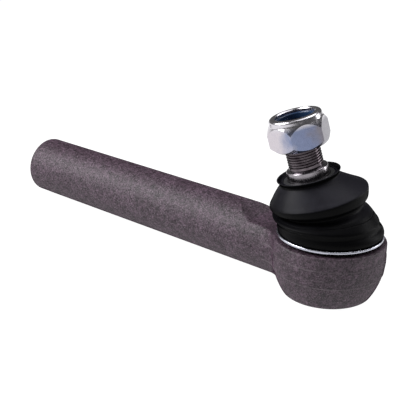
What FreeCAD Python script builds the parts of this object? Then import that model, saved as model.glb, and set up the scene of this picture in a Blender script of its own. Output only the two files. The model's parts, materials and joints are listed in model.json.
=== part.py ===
"""Tie rod end with a threaded shank, a spring-loaded ball joint, a rubber boot and a locking nut.

The origin is the centre of the ball. The shank runs along -X, and +Z is the axis of the socket.
The stud leans from +Z by two turns about the ball's centre, so everything that rides on the stud is
turned upright about Z first and then leaned. Sizes are in millimetres and angles in degrees.
"""
import FreeCAD, Part

import math
import os

Vector = FreeCAD.Vector
ORIGIN = Vector(0, 0, 0)
X_AXIS = Vector(1, 0, 0)
Y_AXIS = Vector(0, 1, 0)
Z_AXIS = Vector(0, 0, 1)

# Pose of the stud: first it rocks about X, then it swings about Y.
ROCK_AT_REST = 9.0
SWING_AT_REST = -13.0
LARGEST_LEAN = 26.0

# Fits
RUNNING_GAP = 0.08
SOFT_GAP = 0.3

# Shank, with an inside thread for the tie rod
SHANK_R = 19.3
SHANK_LENGTH = 252.0
SHANK_END_CHAMFER = 1.5
ROD_THREAD_MAJOR_R = 14.0
ROD_THREAD_MINOR_R = 13.19
ROD_THREAD_DEPTH = 95.0
DRILL_POINT_DEPTH = 7.0

# Head of the housing
HEAD_R = 32.7
HEAD_TOP = 13.2
HEAD_BOTTOM = -20.5
HEAD_FOOT_R = 25.6
DRAFT_START = -8.6
DRAFT_ROUNDING = 42.0
HEAD_RIM_ROUNDING = 1.2
BLANK_TOP = 40.0
NECK_BLEND_R = 16.0
FLASH_HALF_HEIGHT = 5.3
FLASH_PROUD = 0.25
BOSS_R = 26.3
BOSS_TOP = 18.5
BOSS_GROOVE_R = 25.2
BOSS_GROOVE_LOW = 14.1
BOSS_GROOVE_HIGH = 16.9

# Clearance cut in the shank beside the boot: a flat floor and a sloping wall about the socket's axis
CUT_FLOOR_R = 50.0
CUT_WALL_R = 66.0
CUT_WALL_TOP = 20.3

# Socket
BALL_R = 17.0
BALL_FLAT = -13.0
SOCKET_R = 22.1
SEAT_R = 22.0
SEAT_WALL_TOP = 5.5
SEAT_SPLIT = 0.4
UPPER_SEAT_EDGE = 8.9
UPPER_SEAT_TOP = 10.6
LOWER_SEAT_BOTTOM = -14.9
LOWER_SEAT_HOLE_R = 9.2
SPRING_BOTTOM = -16.4
SPRING_THICKNESS = 0.8
SPRING_OUTER_R = 19.5
SPRING_INNER_R = 10.5
COVER_R = 23.7
COVER_THICKNESS = 2.0
LIP_R = 20.9
SEAL_WIRE_R = 0.5
SEAL_GROOVE_R = 23.3

# Stud, measured along its own axis from the ball's centre
NECK_R = 9.0
NECK_TOP = 20.0
CONE_BASE = 31.0
CONE_TOP = 57.3
CONE_TOP_R = 11.9
CONE_TAPER = 1.0 / 20.0
THREAD_R = 10.0
THREAD_PITCH = 1.5
THREAD_DEPTH = 0.92
THREAD_ROOT_HALF_WIDTH = 0.12
THREAD_FLANK = 30.0
THREAD_START = 57.7
THREAD_RUN_IN = 0.9
STUD_END = 81.0
STUD_END_CHAMFER = 1.2

# Nut, measured along the stud's axis
NUT_SEAT = 69.9
NUT_TOP = 88.0
NUT_TOP_R = 14.8
NUT_SHOULDER_R = 15.3
NUT_SHOULDER = 84.85
NUT_ACROSS_FLATS = 31.0
NUT_CORNER_R = NUT_ACROSS_FLATS / math.sqrt(3)
NUT_CORNER_LOW = 73.0
NUT_CORNER_HIGH = 80.2
NUT_CORNER_ANGLE = -7.5
NUT_FACE_R = 15.0
NUT_RIM_R = 11.3
NUT_CORE_R = 9.33
THREAD_GAP = 0.1
INSERT_BOTTOM = 82.6
INSERT_TOP = 86.1
INSERT_R = 12.6
INSERT_BORE_R = 10.12
INSERT_GAP = 0.08

# Boot
BOOT_BASE_R = 28.8
BOOT_WALL = 2.6
BOOT_LIP_R = 18.2
BOOT_LIP_TOP = 52.9
SLIDE_RING_BOTTOM = 44.5
SLIDE_RING_TOP = 51.4
SLIDE_RING_R = 14.0
NECK_RING_R = 15.65
NECK_RING_HEIGHT = 47.4
NECK_RING_WIRE_R = 0.6
BASE_RING_INNER_R = 29.15
BASE_RING_OUTER_R = 30.65
BASE_RING_LOW = 15.0
BASE_RING_HIGH = 16.6
BASE_RING_SPLIT = 1.2
BASE_RING_SPLIT_ANGLE = 25.0


def cone_radius(height):
    """Radius of the stud's 1:10 cone at a height along the stud."""
    return CONE_TOP_R + (CONE_TOP - height) * CONE_TAPER


def leaning_neck_reach(height):
    """How far the leaning neck reaches from the socket's axis at a height above the ball's centre."""
    lean = math.radians(LARGEST_LEAN)
    return (NECK_R + height * math.sin(lean)) / math.cos(lean)


def rounded_outline(corners):
    """Closed wire in the XZ plane through (radius, height, rounding) corners."""
    joins = []
    for index, (radius, height, rounding) in enumerate(corners):
        here = Vector(radius, 0, height)
        if not rounding:
            joins.append((here, here, here))
            continue
        before = corners[index - 1]
        after = corners[(index + 1) % len(corners)]
        towards_before = (Vector(before[0], 0, before[1]) - here).normalize()
        towards_after = (Vector(after[0], 0, after[1]) - here).normalize()
        half_angle = towards_before.getAngle(towards_after) / 2
        reach = rounding / math.tan(half_angle)
        inwards = (towards_before + towards_after).normalize()
        middle = here + inwards * (rounding / math.sin(half_angle) - rounding)
        joins.append((here + towards_before * reach, middle, here + towards_after * reach))
    edges = []
    for index, (start, middle, end) in enumerate(joins):
        if (end - start).Length > 1e-6:
            edges.append(Part.Arc(start, middle, end).toShape())
        next_start = joins[(index + 1) % len(joins)][0]
        if (next_start - end).Length > 1e-6:
            edges.append(Part.makeLine(end, next_start))
    return Part.Wire(edges)


def turned(corners):
    """Solid turned about Z from (radius, height, rounding) corners."""
    return Part.Face(rounded_outline(corners)).revolve(ORIGIN, Z_AXIS, 360)


def leaned(shape, share=1.0):
    """The shape turned about the ball's centre by a share of the stud's lean."""
    shape = shape.copy()
    shape.rotate(ORIGIN, X_AXIS, ROCK_AT_REST * share)
    shape.rotate(ORIGIN, Y_AXIS, SWING_AT_REST * share)
    return shape


def joined(shapes):
    """One solid from the shapes, fused one after another."""
    whole = shapes[0]
    for shape in shapes[1:]:
        whole = whole.fuse(shape)
    return whole


def stud_groove_half_width(radius):
    """Half the width of the stud's thread groove at a radius."""
    height_above_root = radius - (THREAD_R - THREAD_DEPTH)
    return THREAD_ROOT_HALF_WIDTH + height_above_root * math.tan(math.radians(THREAD_FLANK))


def helical_groove(start, length, inner_r, outer_r, inner_half_width, outer_half_width):
    """Right-hand thread groove about Z, with its half widths at its inner and outer radius."""
    helix = Part.makeHelix(THREAD_PITCH, length, inner_r)
    section = Part.makePolygon([
        Vector(inner_r, 0, -inner_half_width),
        Vector(outer_r, 0, -outer_half_width),
        Vector(outer_r, 0, outer_half_width),
        Vector(inner_r, 0, inner_half_width),
        Vector(inner_r, 0, -inner_half_width),
    ])
    groove = Part.Wire(helix).makePipeShell([section], True, True)
    groove.translate(Vector(0, 0, start))
    return groove


def forged_blank():
    """Shank and round head in one, with a hollow blend between them; the head is left tall on top."""
    shank = Part.makeCylinder(SHANK_R, SHANK_LENGTH, ORIGIN, -X_AXIS)
    end_edges = [edge for edge in shank.Edges if edge.BoundBox.XMax < 1 - SHANK_LENGTH]
    shank = shank.makeChamfer(SHANK_END_CHAMFER, end_edges)
    head = turned([
        (0, BLANK_TOP, 0),
        (HEAD_R, BLANK_TOP, 0),
        (HEAD_R, DRAFT_START, DRAFT_ROUNDING),
        (HEAD_FOOT_R, HEAD_BOTTOM, 2.2),
        (0, HEAD_BOTTOM, 0),
    ])
    blank = head.fuse(shank).removeSplitter().Solids[0]
    seam = []
    for edge in blank.Edges:
        middle = edge.valueAt((edge.FirstParameter + edge.LastParameter) / 2)
        on_shank = abs(math.hypot(middle.y, middle.z) - SHANK_R) < 0.01
        if on_shank and -HEAD_R - 1 < middle.x < 0:
            seam.append(edge)
    return blank.makeFillet(NECK_BLEND_R, seam)


def clearance_cut():
    """Everything above the head's top face, and the room for the leaning boot beside it."""
    return turned([
        (0, HEAD_TOP, 0),
        (CUT_FLOOR_R, HEAD_TOP, 6.0),
        (CUT_WALL_R, CUT_WALL_TOP, 0),
        (CUT_WALL_R, BLANK_TOP + 1, 0),
        (0, BLANK_TOP + 1, 0),
    ])


def with_eased_rim(body):
    """The body with the outer edge of its flat top face rounded."""
    rim = []
    for edge in body.Edges:
        middle = edge.valueAt((edge.FirstParameter + edge.LastParameter) / 2)
        flat = edge.BoundBox.ZLength < 0.01 and abs(middle.z - HEAD_TOP) < 0.01
        if flat and math.hypot(middle.x, middle.y) > HEAD_R - 0.5 and abs(middle.y) > 5:
            rim.append(edge)
    return body.makeFillet(HEAD_RIM_ROUNDING, rim)


def flash_marks():
    """Low band round the head and low strips along the shank, where the forging flash was trimmed."""
    low_r = HEAD_R - 0.75
    band = turned([
        (HEAD_R - 3, FLASH_HALF_HEIGHT, 0),
        (HEAD_R + FLASH_PROUD, FLASH_HALF_HEIGHT, 0.1),
        (HEAD_R + FLASH_PROUD, 1.0, 0),
        (low_r + FLASH_PROUD, -FLASH_HALF_HEIGHT, 0.1),
        (HEAD_R - 3, -FLASH_HALF_HEIGHT, 0),
    ])
    marks = [band]
    for side in (-1, 1):
        strip = Part.Face(Part.makePolygon([
            Vector(-30, side * (SHANK_R - 1), 0),
            Vector(-30, side * (SHANK_R + FLASH_PROUD), 0),
            Vector(-70, side * (SHANK_R + FLASH_PROUD), 0),
            Vector(-130, side * (SHANK_R - 0.05), 0),
            Vector(-130, side * (SHANK_R - 1), 0),
            Vector(-30, side * (SHANK_R - 1), 0),
        ])).extrude(Vector(0, 0, 0.9))
        strip.translate(Vector(0, 0, -0.45))
        marks.append(strip)
    return marks


def boot_boss():
    """Raised ring on the head, grooved for the bead of the boot."""
    return turned([
        (10, HEAD_TOP - 4, 0),
        (BOSS_R, HEAD_TOP - 4, 0),
        (BOSS_R, BOSS_GROOVE_LOW, 0),
        (BOSS_GROOVE_R, BOSS_GROOVE_LOW, 0.3),
        (BOSS_GROOVE_R, BOSS_GROOVE_HIGH, 0.3),
        (BOSS_R, BOSS_GROOVE_HIGH, 0),
        (BOSS_R, BOSS_TOP, 0.8),
        (10, BOSS_TOP, 0),
    ])


def socket_cavity():
    """Everything bored from the head: cover recess, seal groove, seat bore and the flared mouth."""
    cover_bottom = SPRING_BOTTOM - COVER_THICKNESS
    mouth_low = 11.6
    return turned([
        (0, HEAD_BOTTOM - 5, 0),
        (LIP_R, HEAD_BOTTOM - 5, 0),
        (LIP_R, cover_bottom, 0.6),
        (COVER_R, cover_bottom, 0),
        (COVER_R, SPRING_BOTTOM, 0),
        (SEAL_GROOVE_R, SPRING_BOTTOM, 0),
        (SEAL_GROOVE_R, SPRING_BOTTOM + 2 * SEAL_WIRE_R, 0),
        (SOCKET_R, SPRING_BOTTOM + 2 * SEAL_WIRE_R, 0),
        (SOCKET_R, SEAT_WALL_TOP, 1.0),
        (leaning_neck_reach(mouth_low) + 0.9, mouth_low, 0),
        (leaning_neck_reach(BOSS_TOP) + 2.4, BOSS_TOP, 0),
        (leaning_neck_reach(BOSS_TOP) + 2.4, BOSS_TOP + 5, 0),
        (0, BOSS_TOP + 5, 0),
    ])


def rod_bore():
    """Tapped hole in the shank's end: core bore, lead-in chamfer and drill point."""
    mouth = -SHANK_LENGTH
    bore = turned([
        (0, -5, 0),
        (ROD_THREAD_MAJOR_R + 0.6, -5, 0),
        (ROD_THREAD_MAJOR_R + 0.6, 0, 0),
        (ROD_THREAD_MINOR_R, ROD_THREAD_MAJOR_R + 0.6 - ROD_THREAD_MINOR_R, 0),
        (ROD_THREAD_MINOR_R, ROD_THREAD_DEPTH, 0),
        (0, ROD_THREAD_DEPTH + DRILL_POINT_DEPTH, 0),
    ])
    bore.rotate(ORIGIN, Y_AXIS, 90)
    bore.translate(Vector(mouth, 0, 0))
    return bore


def housing():
    """Forged head and shank in one piece, bored for the joint and tapped for the rod."""
    blank = with_eased_rim(forged_blank().cut(clearance_cut()).removeSplitter())
    body = joined([blank, boot_boss()] + flash_marks())
    return body.cut(socket_cavity()).cut(rod_bore()).removeSplitter()


def upper_bearing_seat():
    """Plastic seat round the upper half of the ball, open where the neck leans."""
    inner_r = BALL_R + RUNNING_GAP
    edge_r = math.sqrt(inner_r ** 2 - UPPER_SEAT_EDGE ** 2)
    mouth_r = leaning_neck_reach(UPPER_SEAT_TOP) + 0.4
    blank = turned([
        (0, SEAT_SPLIT, 0),
        (SEAT_R, SEAT_SPLIT, 0),
        (SEAT_R, SEAT_WALL_TOP - 0.2, 1.0),
        (mouth_r + 1.2, UPPER_SEAT_TOP, 0),
        (mouth_r, UPPER_SEAT_TOP, 0),
        (edge_r, UPPER_SEAT_EDGE, 0),
        (0, UPPER_SEAT_EDGE, 0),
    ])
    return blank.cut(Part.makeSphere(inner_r))


def lower_bearing_seat():
    """Plastic cup under the ball, open at the bottom and pressed up by the disc spring."""
    blank = turned([
        (LOWER_SEAT_HOLE_R, -SEAT_SPLIT, 0),
        (SEAT_R, -SEAT_SPLIT, 0),
        (SEAT_R, LOWER_SEAT_BOTTOM, 0.8),
        (LOWER_SEAT_HOLE_R, LOWER_SEAT_BOTTOM, 0),
    ])
    return blank.cut(Part.makeSphere(BALL_R + RUNNING_GAP))


def seat_spring():
    """Coned disc spring between the lower seat and the cover."""
    return turned([
        (SPRING_INNER_R, LOWER_SEAT_BOTTOM, 0),
        (SPRING_OUTER_R, SPRING_BOTTOM + SPRING_THICKNESS, 0),
        (SPRING_OUTER_R, SPRING_BOTTOM, 0),
        (SPRING_INNER_R, LOWER_SEAT_BOTTOM - SPRING_THICKNESS, 0),
    ])


def cover_plate():
    """Pressed steel disc that closes the socket, with a shallow dished middle."""
    dish_r = 12.0
    dish_depth = 0.9
    bottom = SPRING_BOTTOM - COVER_THICKNESS
    return turned([
        (0, SPRING_BOTTOM - dish_depth, 0),
        (dish_r, SPRING_BOTTOM - dish_depth, 0.8),
        (dish_r + 2, SPRING_BOTTOM, 0.8),
        (COVER_R, SPRING_BOTTOM, 0),
        (COVER_R, bottom, 0.4),
        (dish_r + 2, bottom, 0.8),
        (dish_r, bottom - dish_depth, 0.8),
        (0, bottom - dish_depth, 0),
    ])


def cover_seal():
    """Rubber ring in the corner between the cover and the housing."""
    return Part.makeTorus(SEAL_GROOVE_R - SEAL_WIRE_R, SEAL_WIRE_R,
                          Vector(0, 0, SPRING_BOTTOM + SEAL_WIRE_R))


def ball_stud():
    """Ball, waisted neck, 1:10 cone and cut thread in one piece."""
    thread_low = THREAD_START + THREAD_RUN_IN
    cut_end = STUD_END + 2 * THREAD_PITCH
    shaft = turned([
        (0, 0, 0),
        (NECK_R, 0, 0),
        (NECK_R, NECK_TOP, 4.0),
        (cone_radius(CONE_BASE), CONE_BASE, 2.0),
        (CONE_TOP_R, CONE_TOP - 0.6, 0.5),
        (THREAD_R - 0.2, CONE_TOP, 0),
        (THREAD_R, THREAD_START + 0.2, 0),
        (THREAD_R, cut_end + THREAD_PITCH, 0),
        (0, cut_end + THREAD_PITCH, 0),
    ])
    root_r = THREAD_R - THREAD_DEPTH
    mouth_r = THREAD_R + 0.3
    groove = helical_groove(thread_low, cut_end - thread_low, root_r, mouth_r,
                            stud_groove_half_width(root_r), stud_groove_half_width(mouth_r))
    beyond_end = turned([
        (0, STUD_END, 0),
        (THREAD_R - STUD_END_CHAMFER, STUD_END, 0),
        (THREAD_R + 1, STUD_END - STUD_END_CHAMFER - 1, 0),
        (THREAD_R + 2, STUD_END - STUD_END_CHAMFER - 1, 0),
        (THREAD_R + 2, cut_end + 10, 0),
        (0, cut_end + 10, 0),
    ])
    under_ball = Part.makeBox(60, 60, 20, Vector(-30, -30, BALL_FLAT - 20))
    ball = Part.makeSphere(BALL_R).cut(under_ball)
    threaded_shaft = shaft.cut(groove).cut(beyond_end)
    return leaned(threaded_shaft.fuse(ball))


def hex_prism(across_flats, height, corner_angle):
    """Upright hexagonal prism on the XY plane with a corner at the stated angle."""
    corner_r = across_flats / math.sqrt(3)
    points = []
    for corner in range(7):
        angle = math.radians(corner_angle + 60 * corner)
        points.append(Vector(corner_r * math.cos(angle), corner_r * math.sin(angle), 0))
    return Part.Face(Part.makePolygon(points)).extrude(Vector(0, 0, height))


def nut_blank():
    """Hexagon with steep corner chamfers that run up into a round crown, left long below the seat."""
    low = NUT_SEAT - 4
    outside = 0.5
    slope = (NUT_SHOULDER - NUT_CORNER_HIGH) / (NUT_CORNER_R - NUT_SHOULDER_R)
    envelope = turned([
        (0, low, 0),
        (NUT_CORNER_R + outside, low, 0),
        (NUT_CORNER_R + outside, NUT_CORNER_HIGH - outside * slope, 0),
        (NUT_SHOULDER_R, NUT_SHOULDER, 2.5),
        (NUT_TOP_R, NUT_TOP, 1.7),
        (0, NUT_TOP, 0),
    ])
    hexagon = hex_prism(NUT_ACROSS_FLATS, NUT_TOP + 1 - low, NUT_CORNER_ANGLE)
    hexagon.translate(Vector(0, 0, low))
    return hexagon.common(envelope)


def below_nut():
    """Everything below the nut, with its lower corner chamfers and the lead-in of its thread."""
    outside = 0.5
    slope = (NUT_CORNER_LOW - NUT_SEAT) / (NUT_CORNER_R - NUT_FACE_R)
    lead_in_r = THREAD_R + 0.8
    inside_r = NUT_CORE_R - 0.3
    return turned([
        (0, NUT_SEAT - 10, 0),
        (NUT_CORNER_R + outside, NUT_SEAT - 10, 0),
        (NUT_CORNER_R + outside, NUT_CORNER_LOW + outside * slope, 0),
        (NUT_FACE_R, NUT_SEAT, 0),
        (lead_in_r, NUT_SEAT, 0),
        (inside_r, NUT_SEAT + lead_in_r - inside_r, 0),
        (0, NUT_SEAT + lead_in_r - inside_r, 0),
    ])


def insert_recess():
    """Room in the crown for the nylon insert, and the opening inside the rolled-in rim."""
    return turned([
        (0, INSERT_BOTTOM, 0),
        (INSERT_R, INSERT_BOTTOM, 0),
        (INSERT_R, INSERT_TOP, 0.5),
        (NUT_RIM_R, INSERT_TOP, 0),
        (NUT_RIM_R, NUT_TOP - 0.5, 0),
        (NUT_RIM_R + 0.8, NUT_TOP + 0.3, 0),
        (0, NUT_TOP + 0.3, 0),
    ])


def lock_nut():
    """Locking nut whose inside thread is in step with the stud's thread."""
    core_bore = Part.makeCylinder(NUT_CORE_R, 40, Vector(0, 0, NUT_SEAT - 10))
    whole_turns = math.ceil((NUT_SEAT - 3 - THREAD_START - THREAD_RUN_IN) / THREAD_PITCH)
    thread_low = THREAD_START + THREAD_RUN_IN + (whole_turns + 0.5) * THREAD_PITCH
    mouth_r = NUT_CORE_R - 0.15
    root_r = THREAD_R + THREAD_GAP
    stud_ridge_plus_gap = THREAD_PITCH / 2 + THREAD_GAP
    groove = helical_groove(thread_low, INSERT_BOTTOM + THREAD_PITCH - thread_low, mouth_r, root_r,
                            stud_ridge_plus_gap - stud_groove_half_width(mouth_r),
                            stud_ridge_plus_gap - stud_groove_half_width(root_r))
    tapped = nut_blank().cut(core_bore).cut(groove)
    return leaned(tapped.cut(insert_recess()).cut(below_nut()))


def nut_insert():
    """Nylon ring held in the nut's crown."""
    outer_r = INSERT_R - INSERT_GAP
    low = INSERT_BOTTOM + INSERT_GAP
    high = INSERT_TOP - INSERT_GAP
    return leaned(turned([
        (INSERT_BORE_R, low, 0.4),
        (outer_r, low, 0),
        (outer_r, high, 0.5),
        (INSERT_BORE_R, high, 0.6),
    ]))


def boot_ring(radius, height, tilt, shift):
    """Circle round the stud whose tilt and sideways shift are shares of the stud's lean."""
    circle = leaned(Part.makeCircle(radius), tilt)
    circle.translate(leaned(Part.Vertex(0, 0, height), shift).Point)
    return Part.Wire(circle)


def boot_skin(inset):
    """Solid inside one skin of the boot, the stated distance in from its outer surface.

    The skin has a band at its base, a fold that stays level, a deep valley, and a wide fold
    that follows the stud.
    """
    rings = (
        (BOOT_BASE_R, BOSS_GROOVE_LOW - 0.1, 0.0, 0.0),
        (BOOT_BASE_R, BASE_RING_HIGH + 0.3, 0.0, 0.0),
        (30.4, 18.4, 0.0, 0.0),
        (30.4, 20.2, 0.0, 0.06),
        (29.5, 22.4, 0.03, 0.24),
        (30.0, 25.4, 0.06, 0.44),
        (29.4, 26.8, 0.1, 0.51),
        (25.8, 29.6, 0.4, 0.53),
        (22.8, 31.6, 0.66, 0.65),
        (26.5, 35.0, 0.88, 0.7),
        (28.1, 37.4, 0.98, 0.73),
        (28.1, 39.5, 1.0, 0.74),
        (22.6, 44.6, 1.0, 0.93),
        (17.4, 49.0, 1.0, 1.0),
    )
    return Part.makeLoft([boot_ring(radius - inset, *place) for radius, *place in rings], True, True)


def dust_boot():
    """Rubber boot from the boss on the head to the flared lip round the stud."""
    bead = turned([
        (BOSS_GROOVE_R + SOFT_GAP, BOSS_GROOVE_LOW + SOFT_GAP, 0.4),
        (BOSS_R + 1.5, BOSS_GROOVE_LOW + SOFT_GAP, 0),
        (BOSS_R + 1.5, BOSS_GROOVE_HIGH - SOFT_GAP, 0),
        (BOSS_GROOVE_R + SOFT_GAP, BOSS_GROOVE_HIGH - SOFT_GAP, 0.4),
    ])
    base_bore = Part.makeCylinder(BOSS_R + SOFT_GAP, 10, Vector(0, 0, HEAD_TOP))
    wall = boot_skin(0).cut(boot_skin(BOOT_WALL)).cut(base_bore)
    neck_bore_r = SLIDE_RING_R + SOFT_GAP
    neck = leaned(turned([
        (neck_bore_r, SLIDE_RING_BOTTOM - 0.5, 0),
        (19.0, SLIDE_RING_BOTTOM - 0.5, 0),
        (17.2, 47.0, 0),
        (16.9, 49.6, 0.8),
        (BOOT_LIP_R, BOOT_LIP_TOP - 0.4, 0),
        (BOOT_LIP_R - 0.3, BOOT_LIP_TOP, 0),
        (neck_bore_r + 1.2, SLIDE_RING_TOP - 0.9, 0),
        (neck_bore_r, SLIDE_RING_TOP - 1.5, 0),
    ]))
    ring_space = leaned(Part.makeTorus(NECK_RING_R, NECK_RING_WIRE_R + 0.25,
                                       Vector(0, 0, NECK_RING_HEIGHT)))
    neck_bore = leaned(Part.makeCylinder(neck_bore_r, 20, Vector(0, 0, SLIDE_RING_BOTTOM - 3)))
    return joined([wall.cut(neck_bore), bead, neck]).cut(ring_space).removeSplitter()


def boot_base_ring():
    """Flat-wire retaining ring round the base of the boot, split on the far side."""
    ring = turned([
        (BASE_RING_INNER_R, BASE_RING_LOW, 0.2),
        (BASE_RING_OUTER_R, BASE_RING_LOW, 0.5),
        (BASE_RING_OUTER_R, BASE_RING_HIGH, 0.5),
        (BASE_RING_INNER_R, BASE_RING_HIGH, 0.2),
    ])
    split = Part.makeBox(BASE_RING_SPLIT, 10, 10, Vector(-BASE_RING_SPLIT / 2, BASE_RING_INNER_R - 5, 10))
    split.rotate(ORIGIN, Z_AXIS, BASE_RING_SPLIT_ANGLE)
    return ring.cut(split)


def boot_neck_ring():
    """Steel wire ring moulded into the boot's neck."""
    return leaned(Part.makeTorus(NECK_RING_R, NECK_RING_WIRE_R, Vector(0, 0, NECK_RING_HEIGHT)))


def boot_slide_ring():
    """Plastic bush that the stud's cone turns in, with a small flange under the boot's lip."""
    gap = 0.1
    return leaned(turned([
        (cone_radius(SLIDE_RING_BOTTOM) + gap, SLIDE_RING_BOTTOM, 0),
        (SLIDE_RING_R, SLIDE_RING_BOTTOM, 0.3),
        (SLIDE_RING_R, SLIDE_RING_TOP - 0.8, 0),
        (SLIDE_RING_R + 0.7, SLIDE_RING_TOP - 0.8, 0),
        (SLIDE_RING_R + 0.7, SLIDE_RING_TOP, 0.3),
        (cone_radius(SLIDE_RING_TOP) + gap, SLIDE_RING_TOP, 0.4),
    ]))


NODES = {
    "housing": housing,
    "upper_bearing_seat": upper_bearing_seat,
    "lower_bearing_seat": lower_bearing_seat,
    "seat_spring": seat_spring,
    "cover_plate": cover_plate,
    "cover_seal": cover_seal,
    "ball_stud": ball_stud,
    "lock_nut": lock_nut,
    "nut_insert": nut_insert,
    "dust_boot": dust_boot,
    "boot_base_ring": boot_base_ring,
    "boot_neck_ring": boot_neck_ring,
    "boot_slide_ring": boot_slide_ring,
}

os.makedirs("parts", exist_ok=True)
for name, build in NODES.items():
    shape = build()
    shape.exportStep("parts/" + name + ".step")
    box = shape.BoundBox
    print(name, shape.ShapeType, len(shape.Solids), "solid", shape.isValid(), round(shape.Volume), "mm3",
          [round(v, 1) for v in (box.XMin, box.YMin, box.ZMin, box.XMax, box.YMax, box.ZMax)])
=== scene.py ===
"""Looks of the tie rod end: its rubber boot, its materials, the studio and the camera."""

import json
import math

import bpy
import numpy as np
from mathutils import Matrix, Vector


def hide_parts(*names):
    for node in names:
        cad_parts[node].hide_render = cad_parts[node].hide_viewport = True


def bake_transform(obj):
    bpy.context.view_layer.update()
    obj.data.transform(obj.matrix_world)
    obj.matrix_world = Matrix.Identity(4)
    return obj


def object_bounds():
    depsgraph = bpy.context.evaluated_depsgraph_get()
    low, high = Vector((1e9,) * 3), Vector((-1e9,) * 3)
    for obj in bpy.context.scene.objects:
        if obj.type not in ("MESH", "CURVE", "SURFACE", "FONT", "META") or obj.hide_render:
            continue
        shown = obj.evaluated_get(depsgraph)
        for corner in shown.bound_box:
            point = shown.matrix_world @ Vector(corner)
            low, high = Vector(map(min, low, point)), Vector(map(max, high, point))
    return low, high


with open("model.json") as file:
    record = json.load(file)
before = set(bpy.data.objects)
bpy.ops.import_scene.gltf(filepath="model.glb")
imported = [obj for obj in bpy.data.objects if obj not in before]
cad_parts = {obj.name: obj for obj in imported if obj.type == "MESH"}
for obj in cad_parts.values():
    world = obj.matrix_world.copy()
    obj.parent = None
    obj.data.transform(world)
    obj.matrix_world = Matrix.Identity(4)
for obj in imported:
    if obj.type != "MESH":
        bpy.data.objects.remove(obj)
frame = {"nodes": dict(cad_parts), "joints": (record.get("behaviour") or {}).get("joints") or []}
cad_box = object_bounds()
joints = {joint["name"]: joint for joint in frame["joints"]}
nodes = frame["nodes"]

MM = 0.001

# Boot: points round each ring, and curve steps between two outline rows
ROUND_STEPS = 192
CURVE_STEPS = 6

# Head: height of the flash band's edges above and below the middle of the forging
FLASH_HALF_HEIGHT = 5.3 * MM

# Where one finish or painted mark gives way to the next, from start to end: along X from shank to head, up Z
# from the boot's lower folds, painted in shade under the upper fold, to its upper ones, and up the stud from
# cone to thread and from the nut to its crown, painted paler as a highlight
HEAD_FADE = (-38 * MM, -32 * MM)
UPPER_FOLD_SHADE_FADE = (30 * MM, 36 * MM)
THREAD_FADE = (57 * MM, 58 * MM)
CROWN_HIGHLIGHT_FADE = (82 * MM, 84.5 * MM)

# Nut: direction across which its film's tint drifts, with painted light and shade, pale where the direction
# points away and dark where it points to, and how far it drifts to each side of the stud's axis
TINT_AND_SHADE_DIRECTION = (0.75, 0.66, 0.0)
TINT_AND_SHADE_FADE = (-17 * MM, 17 * MM)

# Studio: half the floor's side, its gap below the head and the dim room's strength; then each light's
# name, place, target, size and power, in metres and watts; then the camera
FLOOR_HALF_SIZE = 20.0
FLOOR_GAP = 0.2 * MM
ROOM_STRENGTH = 0.1
LIGHTS = [
    ("key", (-0.6, -0.5, 0.56), (-0.08, 0, 0.02), (0.55, 0.55), 12.5),
    ("top_box", (0.03, 0.12, 0.95), (-0.02, 0, 0.08), (0.8, 0.8), 3.0),
    ("back_box", (0.14, 0.36, 0.88), (-0.02, 0, 0.08), (0.5, 0.5), 2.2),
    ("left_box", (-0.6, -0.75, 0.4), (-0.02, 0, 0.04), (0.3, 0.5), 0.6),
    ("right_box", (0.42, 0.62, 0.2), (-0.02, 0, 0.05), (0.2, 0.5), 2.0),
]
CAMERA_PLACE = Vector((0.261565, -0.406095, 0.210391))
CAMERA_RIGHT = Vector((0.74862, 0.66276, 0.01746))
CAMERA_UP = Vector((-0.24690, 0.25424, 0.93510))
CAMERA_LENS_MM = 77.9

# The stud's pose in the frame: it rocks about X, then swings about Y.
STUD_AXIS = Vector(joints["stud_spin"]["axis"]).normalized()
ROCK = math.asin(-STUD_AXIS.y)
SWING = math.atan2(STUD_AXIS.x, STUD_AXIS.z)


def lean(share):
    """Rotation by a share of the stud's lean from the socket's axis."""
    return Matrix.Rotation(SWING * share, 3, "Y") @ Matrix.Rotation(ROCK * share, 3, "X")


# ---------------------------------------------------------------- meshes

def mesh_piece(name, vertices, faces):
    """A new smooth-shaded object from vertices in metres and faces."""
    mesh = bpy.data.meshes.new(name)
    mesh.from_pydata([tuple(vertex) for vertex in vertices], [], faces)
    mesh.validate()
    mesh.update()
    mesh.polygons.foreach_set("use_smooth", [True] * len(mesh.polygons))
    piece = bpy.data.objects.new(name, mesh)
    bpy.context.collection.objects.link(piece)
    return piece


def smooth_curve(points, steps):
    """Centripetal curve through the points, with the stated steps between each two."""
    points = np.array(points, float)
    ends = np.vstack([2 * points[0] - points[1], points, 2 * points[-1] - points[-2]])
    curve = []
    for index in range(1, len(ends) - 2):
        p0, p1, p2, p3 = ends[index - 1:index + 3]
        k0, k1, k2 = (max(np.linalg.norm(b[:2] - a[:2]), 1e-6) ** 0.5
                      for a, b in ((p0, p1), (p1, p2), (p2, p3)))
        t1, t2, t3 = k0, k0 + k1, k0 + k1 + k2
        for step in range(steps):
            t = t1 + (t2 - t1) * step / steps
            a1 = (t1 - t) / t1 * p0 + t / t1 * p1
            a2 = (t2 - t) / (t2 - t1) * p1 + (t - t1) / (t2 - t1) * p2
            a3 = (t3 - t) / (t3 - t2) * p2 + (t - t2) / (t3 - t2) * p3
            b1 = (t2 - t) / t2 * a1 + t / t2 * a2
            b2 = (t3 - t) / (t3 - t1) * a2 + (t - t1) / (t3 - t1) * a3
            curve.append((t2 - t) / (t2 - t1) * b1 + (t - t1) / (t2 - t1) * b2)
    curve.append(points[-1])
    return curve


def ring_centre_and_turn(height, tilt, shift):
    """Where a boot ring's centre lies, and its rotation. Tilt and shift are shares of the lean."""
    return lean(shift) @ Vector((0, 0, height)), lean(tilt)


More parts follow.
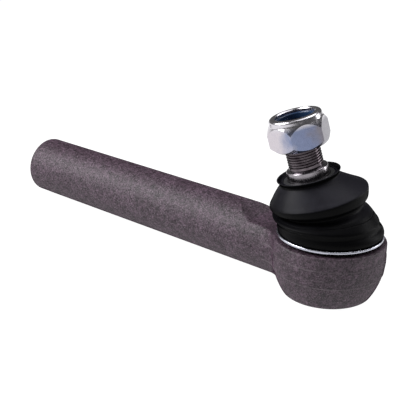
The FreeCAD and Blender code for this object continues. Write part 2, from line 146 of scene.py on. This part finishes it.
def ring_points(radius, height, tilt, shift):
    """Points of one boot ring, in millimetres."""
    centre, turn = ring_centre_and_turn(height, tilt, shift)
    points = []
    for step in range(ROUND_STEPS):
        angle = 2 * math.pi * step / ROUND_STEPS
        points.append(centre + turn @ Vector((radius * math.cos(angle), radius * math.sin(angle), 0)))
    return points


def skin_of_rings(name, rings):
    """Closed band through rings of points: the last ring joins back to the first."""
    vertices = []
    for ring in rings:
        vertices.extend(Vector(point) * MM for point in ring)
    faces = []
    count = len(rings)
    for index in range(count):
        low = index * ROUND_STEPS
        high = (index + 1) % count * ROUND_STEPS
        for step in range(ROUND_STEPS):
            after = (step + 1) % ROUND_STEPS
            faces.append((low + step, low + after, high + after, high + step))
    return mesh_piece(name, vertices, faces)


# Boot outline rows: (radius, height, tilt share, shift share), lengths in millimetres. They run up the
# outside from the base and down the inside from the neck.
BOOT_LOWER_OUTSIDE = [
    (28.75, 14.6, 0.0, 0.0),
    (28.8, 16.8, 0.0, 0.0),
    (29.9, 17.3, 0.0, 0.0),
    (30.4, 18.3, 0.0, 0.0),
    (30.4, 20.0, 0.0, 0.05),
    (30.0, 21.3, 0.02, 0.14),
    (29.6, 22.4, 0.03, 0.24),
    (29.75, 23.8, 0.04, 0.34),
    (30.1, 25.2, 0.06, 0.43),
    (29.95, 26.2, 0.07, 0.5),
    (29.3, 27.0, 0.12, 0.52),
    (27.6, 28.5, 0.28, 0.53),
]
BOOT_UPPER_OUTSIDE = [
    (27.6, 28.5, 0.28, 0.53),
    (26.0, 29.7, 0.41, 0.53),
    (25.0, 30.1, 0.5, 0.56),
    (23.9, 30.5, 0.58, 0.59),
    (23.2, 31.1, 0.62, 0.61),
    (23.1, 32.0, 0.66, 0.63),
    (23.7, 33.2, 0.7, 0.66),
    (25.2, 34.0, 0.74, 0.7),
    (26.8, 34.6, 0.77, 0.72),
    (27.6, 35.6, 0.82, 0.725),
    (28.1, 37.1, 0.92, 0.73),
    (28.4, 38.6, 0.98, 0.735),
    (28.3, 39.7, 1.0, 0.74),
    (27.4, 40.7, 1.0, 0.77),
    (26.0, 41.8, 1.0, 0.82),
    (22.6, 44.7, 1.0, 0.93),
    (18.9, 47.9, 1.0, 1.0),
    (17.3, 49.4, 1.0, 1.0),
    (17.0, 50.3, 1.0, 1.0),
    (17.6, 51.5, 1.0, 1.0),
    (18.3, 52.5, 1.0, 1.0),
    (18.25, 52.85, 1.0, 1.0),
    (17.85, 52.9, 1.0, 1.0),
    (17.3, 52.3, 1.0, 1.0),
    (16.6, 51.1, 1.0, 1.0),
    (15.9, 50.8, 1.0, 1.0),
    (15.3, 51.5, 1.0, 1.0),
    (14.95, 51.6, 1.0, 1.0),
    (14.8, 51.1, 1.0, 1.0),
]
BOOT_UPPER_INSIDE = [
    (14.4, 46.4, 1.0, 1.0),
    (17.5, 45.0, 1.0, 1.0),
    (21.0, 42.6, 0.99, 0.93),
    (24.9, 39.6, 0.99, 0.82),
    (25.6, 38.2, 0.98, 0.76),
    (25.3, 37.0, 0.9, 0.73),
    (24.0, 35.9, 0.8, 0.7),
    (22.2, 34.4, 0.72, 0.66),
    (21.7, 32.7, 0.68, 0.63),
    (21.8, 31.0, 0.63, 0.61),
    (22.8, 29.6, 0.54, 0.57),
    (24.6, 28.6, 0.42, 0.54),
    (26.2, 27.3, 0.28, 0.53),
]
BOOT_LOWER_INSIDE = [
    (26.2, 27.3, 0.28, 0.53),
    (27.0, 26.2, 0.14, 0.48),
    (27.4, 25.0, 0.08, 0.43),
    (27.2, 22.4, 0.03, 0.24),
    (27.2, 19.4, 0.0, 0.05),
    (26.9, 18.9, 0.0, 0.0),
    (26.7, 14.6, 0.0, 0.0),
]


def boot_piece(name, outside, inside):
    """One half of the boot's wall, from its outside and inside outlines."""
    outline = smooth_curve(outside, CURVE_STEPS) + smooth_curve(inside, CURVE_STEPS)
    return skin_of_rings(name, [ring_points(*row) for row in outline])


def make_boot():
    """The boot in two halves, their rings tilted and shifted by shares of the stud's lean."""
    lower = boot_piece("dust_boot_lower", BOOT_LOWER_OUTSIDE, BOOT_LOWER_INSIDE)
    upper = boot_piece("dust_boot_upper", BOOT_UPPER_OUTSIDE, BOOT_UPPER_INSIDE)
    rubber = boot_rubber()
    for half in (lower, upper):
        half.data.materials.append(rubber)
        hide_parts("dust_boot")
    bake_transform(lower)
    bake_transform(upper)


# ---------------------------------------------------------------- materials

def add_node(tree, kind, inputs=None, **settings):
    """A new node with its settings, and with inputs given as values or as other nodes' outputs."""
    made = tree.nodes.new(kind)
    for key, value in settings.items():
        setattr(made, key, value)
    for key, value in (inputs or {}).items():
        if isinstance(value, bpy.types.NodeSocket):
            tree.links.new(value, made.inputs[key])
        else:
            made.inputs[key].default_value = value
    return made


def new_finish(name, **constants):
    """A material with its Principled shader's constant sockets set."""
    material = bpy.data.materials.new(name)
    material.use_nodes = True
    tree = material.node_tree
    shader = tree.nodes["Principled BSDF"]
    for key, value in constants.items():
        shader.inputs[key.replace("_", " ")].default_value = value
    return material, tree, shader


def coordinates(tree, leaning=False):
    """Object coordinates, or the same turned so that Z is the stud's axis."""
    place = add_node(tree, "ShaderNodeTexCoord").outputs["Object"]
    if not leaning:
        return place
    upright = lean(1.0).inverted().to_euler("XYZ")
    return add_node(tree, "ShaderNodeMapping", {"Vector": place, "Rotation": upright}).outputs["Vector"]


def noise(tree, place, size_mm, detail=3.0, roughness=0.55):
    """Noise whose features are about that many millimetres across."""
    inputs = {"Vector": place, "Scale": 1 / (size_mm * MM), "Detail": detail, "Roughness": roughness}
    return add_node(tree, "ShaderNodeTexNoise", inputs).outputs["Fac"]


def ramp(tree, factor, stops):
    """Colour ramp with (position, colour) stops."""
    made = add_node(tree, "ShaderNodeValToRGB", {"Fac": factor})
    elements = made.color_ramp.elements
    while len(elements) < len(stops):
        elements.new(0.5)
    for element, (position, colour) in zip(elements, stops):
        element.position = position
        element.color = (*colour, 1.0)
    return made.outputs["Color"]


def grey(value):
    """Colour with the same red, green and blue."""
    return (value, value, value)


def spread(tree, factor, low, high, start=0.0, end=1.0):
    """The factor from start to end, mapped to low to high."""
    return add_node(tree, "ShaderNodeMapRange", {
        "Value": factor, "From Min": start, "From Max": end, "To Min": low, "To Max": high}).outputs["Result"]


def mixed(tree, factor, first, second, blend="MIX"):
    """Colour mix of two colours or sockets."""
    colours = [(*value, 1.0) if isinstance(value, tuple) else value for value in (first, second)]
    inputs = {0: factor, 6: colours[0], 7: colours[1]}
    return add_node(tree, "ShaderNodeMix", inputs, data_type="RGBA", blend_type=blend).outputs[2]


def math_node(tree, operation, first, second=0.0):
    """Result of one arithmetic step on two numbers or sockets."""
    return add_node(tree, "ShaderNodeMath", {0: first, 1: second}, operation=operation).outputs[0]


def axis_of(tree, vector, axis):
    """One of the X, Y and Z parts of a vector socket."""
    return add_node(tree, "ShaderNodeSeparateXYZ", {"Vector": vector}).outputs[axis]


def link(tree, socket, target):
    """Feeds a socket into a shader's input."""
    tree.links.new(socket, target)


def bumped(tree, shader, layers):
    """Chains bumps into the shader: each layer is (height socket, depth in millimetres)."""
    normal = None
    for height, depth_mm in layers:
        inputs = {"Height": height, "Strength": 1.0, "Distance": depth_mm * MM}
        if normal:
            inputs["Normal"] = normal
        normal = add_node(tree, "ShaderNodeBump", inputs).outputs["Normal"]
    link(tree, normal, shader.inputs["Normal"])


def edge_damped(tree, level):
    """Specular level that fades where a rough surface turns away, as its own grain shades it."""
    turned_away = add_node(tree, "ShaderNodeLayerWeight", {"Blend": 0.5}).outputs["Facing"]
    return spread(tree, turned_away, level, 0.0, 0.3, 0.85)


def flash_edges(tree, place):
    """One along the two edges of the trimmed flash band round the head, none elsewhere."""
    above_middle = math_node(tree, "ABSOLUTE", axis_of(tree, place, "Z"))
    from_edge = math_node(tree, "ABSOLUTE", math_node(tree, "SUBTRACT", above_middle, FLASH_HALF_HEIGHT))
    on_edge = spread(tree, from_edge, 1.0, 0.0, 0.15 * MM, 0.6 * MM)
    on_head = spread(tree, axis_of(tree, place, "X"), 0.0, 1.0, *HEAD_FADE)
    return math_node(tree, "MULTIPLY", on_edge, on_head)


def forged_steel():
    """Dark shot-blasted forging: peened grain, cloudy phosphate and light rubbed specks."""
    material, tree, shader = new_finish("forging")
    place = coordinates(tree)
    clouds = noise(tree, place, 17, detail=5, roughness=0.6)
    grain = noise(tree, place, 0.95, detail=6, roughness=0.75)
    blotches = noise(tree, place, 2.8, detail=4, roughness=0.7)
    specks = noise(tree, place, 0.7, detail=2, roughness=0.8)
    base = ramp(tree, clouds, [(0.32, (0.036, 0.022, 0.032)), (0.68, (0.058, 0.037, 0.053))])
    tone = ramp(tree, grain, [(0.34, grey(0.15)), (0.5, grey(0.95)), (0.66, grey(2.0))])
    patch = ramp(tree, blotches, [(0.35, grey(0.45)), (0.65, grey(1.5))])
    speckled = mixed(tree, 1.0, mixed(tree, 1.0, base, tone, "MULTIPLY"), patch, "MULTIPLY")
    lit = ramp(tree, specks, [(0.6, grey(0.0)), (0.74, grey(1.0))])
    colour = mixed(tree, math_node(tree, "MULTIPLY", lit, 0.4), speckled, (0.4, 0.36, 0.39))
    rubbed = math_node(tree, "MULTIPLY", flash_edges(tree, place), blotches)
    link(tree, mixed(tree, rubbed, colour, (0.13, 0.108, 0.122)), shader.inputs["Base Color"])
    link(tree, spread(tree, grain, 0.4, 0.62, 0.3, 0.7), shader.inputs["Roughness"])
    gloss = math_node(tree, "MULTIPLY", edge_damped(tree, 0.36), spread(tree, grain, 0.35, 1.65, 0.35, 0.65))
    link(tree, gloss, shader.inputs["Specular IOR Level"])
    pits = noise(tree, place, 2.4, detail=3)
    bumped(tree, shader, [(pits, 0.32), (grain, 0.3)])
    return material


def stud_steel():
    """Turned and thread-cut steel with a dark oil film and fine turning lines."""
    material, tree, shader = new_finish("stud_steel", Metallic=1.0)
    place = coordinates(tree, leaning=True)
    round_the_axis = {"Vector": place, "Scale": (0.04, 0.04, 1.0)}
    stretched = add_node(tree, "ShaderNodeMapping", round_the_axis).outputs["Vector"]
    lines = noise(tree, stretched, 0.22, detail=3)
    stains = noise(tree, place, 4.0, detail=4)
    oiled = ramp(tree, stains, [(0.35, (0.075, 0.06, 0.07)), (0.65, (0.16, 0.138, 0.152))])
    ground = ramp(tree, stains, [(0.35, (0.24, 0.22, 0.24)), (0.65, (0.34, 0.32, 0.345))])
    height = axis_of(tree, place, "Z")
    threaded = spread(tree, height, 0.0, 1.0, *THREAD_FADE)
    link(tree, mixed(tree, threaded, ground, oiled), shader.inputs["Base Color"])
    link(tree, spread(tree, stains, 0.16, 0.3, 0.3, 0.7), shader.inputs["Roughness"])
    bumped(tree, shader, [(lines, 0.012)])
    return material


def zinc_plate():
    """Bright zinc with a thin passivation film that drifts from pink-silver to blue-violet, with painted
    light and shade: pale on one side, dark on the other, and a paler crown as a painted highlight.
    """
    material, tree, shader = new_finish("zinc_plate", Metallic=1.0)
    place = coordinates(tree, leaning=True)
    # Painted light and shade across the nut: pale pink-silver on one side and dark blue-violet to grey-violet
    # on the other, as its lit and shaded faces; the pink and blue tints are the film's own.
    across = add_node(tree, "ShaderNodeVectorMath", {0: place, 1: TINT_AND_SHADE_DIRECTION},
                      operation="DOT_PRODUCT").outputs["Value"]
    side = spread(tree, across, 0.0, 1.0, *TINT_AND_SHADE_FADE)
    drift = mixed(tree, 0.3, side, noise(tree, place, 8, detail=2))
    film = ramp(tree, drift, [(0.22, (0.56, 0.52, 0.56)), (0.42, (0.2, 0.235, 0.36)),
                              (0.58, (0.19, 0.22, 0.34)), (0.72, (0.21, 0.2, 0.235))])
    # Painted highlight: the crown is painted paler, standing in for the bright reflection of the lights
    # above.
    height = axis_of(tree, place, "Z")
    crown_highlight = spread(tree, height, 0.0, 1.0, *CROWN_HIGHLIGHT_FADE)
    link(tree, mixed(tree, crown_highlight, film, (0.6, 0.58, 0.62)), shader.inputs["Base Color"])
    cloud = noise(tree, place, 2.2, detail=4)
    link(tree, spread(tree, cloud, 0.16, 0.28, 0.3, 0.7), shader.inputs["Roughness"])
    bumped(tree, shader, [(noise(tree, place, 1.2, detail=3), 0.012)])
    return material


def boot_rubber():
    """Black moulded rubber: deep black sides, and a painted sheen on faces that look up, weaker on the lower
    folds as painted shade under the upper fold.
    """
    material, tree, shader = new_finish("boot_skin", IOR=1.5)
    place = coordinates(tree)
    clouds = noise(tree, place, 9, detail=4)
    upward = axis_of(tree, add_node(tree, "ShaderNodeNewGeometry").outputs["Normal"], "Z")
    height = axis_of(tree, place, "Z")
    # Painted shade: below the upper fold the painted sheen is cut to 0.12 of its strength, rising to all of
    # it from 30 to 36 mm up.
    unshaded_by_upper_fold = spread(tree, height, 0.12, 1.0, *UPPER_FOLD_SHADE_FADE)
    # Painted sheen: faces that look up are painted paler, up to the lighter colour below, standing in for the
    # broad sheen of the light above; it is patchy with the clouds.
    painted_top_sheen = math_node(tree, "MULTIPLY", spread(tree, upward, 0.0, 1.0, 0.2, 0.8),
                        math_node(tree, "MULTIPLY", unshaded_by_upper_fold, spread(tree, clouds, 0.75, 1.2, 0.3, 0.7)))
    base = mixed(tree, painted_top_sheen, (0.0012, 0.0012, 0.0015), (0.017, 0.0165, 0.0215))
    link(tree, base, shader.inputs["Base Color"])
    link(tree, spread(tree, clouds, 0.36, 0.5, 0.3, 0.7), shader.inputs["Roughness"])
    link(tree, edge_damped(tree, 0.045), shader.inputs["Specular IOR Level"])
    ripples = noise(tree, place, 3.0, detail=2)
    skin = noise(tree, place, 0.35, detail=2)
    bumped(tree, shader, [(ripples, 0.05), (skin, 0.01)])
    return material


def plain_metal(name, colour, roughness, grain_mm=0.5, depth_mm=0.01):
    """Metal with slight tone and roughness variation."""
    material, tree, shader = new_finish(name, Metallic=1.0)
    place = coordinates(tree)
    tone = noise(tree, place, 5, detail=4)
    dark = tuple(channel * 0.8 for channel in colour)
    link(tree, ramp(tree, tone, [(0.3, dark), (0.7, colour)]), shader.inputs["Base Color"])
    link(tree, spread(tree, tone, roughness * 0.8, roughness * 1.25, 0.3, 0.7), shader.inputs["Roughness"])
    bumped(tree, shader, [(noise(tree, place, grain_mm), depth_mm)])
    return material


def plain_plastic(name, colour, roughness):
    """Moulded plastic with slight tone and a fine skin."""
    material, tree, shader = new_finish(name, IOR=1.5)
    place = coordinates(tree)
    tone = noise(tree, place, 4, detail=3)
    dark = tuple(channel * 0.75 for channel in colour)
    link(tree, ramp(tree, tone, [(0.3, dark), (0.7, colour)]), shader.inputs["Base Color"])
    link(tree, spread(tree, tone, roughness * 0.85, roughness * 1.2, 0.3, 0.7), shader.inputs["Roughness"])
    bumped(tree, shader, [(noise(tree, place, 0.4), 0.008)])
    return material


def paint_nodes():
    """Gives every CAD node its finish."""
    seat = plain_plastic("seat_plastic", (0.72, 0.7, 0.62), 0.4)
    spring = plain_metal("spring_steel", (0.25, 0.25, 0.27), 0.35)
    finishes = {
        "housing": forged_steel(),
        "upper_bearing_seat": seat,
        "lower_bearing_seat": seat,
        "seat_spring": spring,
        "boot_neck_ring": spring,
        "cover_plate": plain_metal("cover_steel", (0.22, 0.21, 0.215), 0.45, 0.8, 0.03),
        "cover_seal": plain_plastic("seal_rubber", (0.015, 0.015, 0.016), 0.5),
        "ball_stud": stud_steel(),
        "lock_nut": zinc_plate(),
        "nut_insert": plain_plastic("insert_nylon", (0.012, 0.035, 0.09), 0.3),
        "boot_base_ring": plain_metal("ring_steel", (0.5, 0.51, 0.58), 0.25),
        "boot_slide_ring": plain_plastic("slide_plastic", (0.03, 0.03, 0.032), 0.4),
    }
    for name, material in finishes.items():
        node = nodes[name]
        if not node.material_slots:
            node.data.materials.append(material)
        for slot in node.material_slots:
            slot.material = material


# ---------------------------------------------------------------- studio

def make_floor():
    """Floor that the head stands on: plain white from its own glow, with a dark base under it."""
    size = FLOOR_HALF_SIZE
    z = cad_box[0][2] - FLOOR_GAP
    corners = [(-size, -size, z), (size, -size, z), (size, size, z), (-size, size, z)]
    floor = mesh_piece("floor", corners, [(0, 1, 2, 3)])
    material, tree, shader = new_finish("floor_paint", Roughness=0.9, Specular_IOR_Level=0.0,
                                        Emission_Color=(1, 1, 1, 1), Emission_Strength=1.0)
    place = coordinates(tree)
    tone = noise(tree, place, 300, detail=1)
    link(tree, ramp(tree, tone, [(0.3, grey(0.1)), (0.7, grey(0.12))]), shader.inputs["Base Color"])
    floor.data.materials.append(material)


def area_light(name, place, target, size, power):
    """Rectangular softbox aimed at a target."""
    lamp = bpy.data.lights.new(name, "AREA")
    lamp.shape = "RECTANGLE"
    lamp.size, lamp.size_y = size
    lamp.energy = power
    light = bpy.data.objects.new(name, lamp)
    light.location = place
    light.rotation_euler = (Vector(target) - Vector(place)).to_track_quat("-Z", "Y").to_euler()
    bpy.context.collection.objects.link(light)


def make_lights():
    """Dim room, a key from the left, panels above and behind, and a softbox on each side."""
    world = bpy.data.worlds.new("room")
    world.use_nodes = True
    background = world.node_tree.nodes["Background"]
    background.inputs["Color"].default_value = (1, 1, 1, 1)
    background.inputs["Strength"].default_value = ROOM_STRENGTH
    bpy.context.scene.world = world
    for settings in LIGHTS:
        area_light(*settings)


def make_camera():
    """Camera that looks down on the joint from its front corner."""
    camera = bpy.data.cameras.new("camera")
    camera.sensor_width = 36.0
    camera.lens = CAMERA_LENS_MM
    view = bpy.data.objects.new("camera", camera)
    back = CAMERA_RIGHT.cross(CAMERA_UP)
    turn = Matrix((CAMERA_RIGHT, CAMERA_UP, back)).transposed()
    view.matrix_world = Matrix.Translation(CAMERA_PLACE) @ turn.to_4x4()
    bpy.context.collection.objects.link(view)
    bpy.context.scene.camera = view


paint_nodes()
make_boot()
make_floor()
make_lights()
make_camera()
bpy.context.scene.view_settings.view_transform = "Standard"
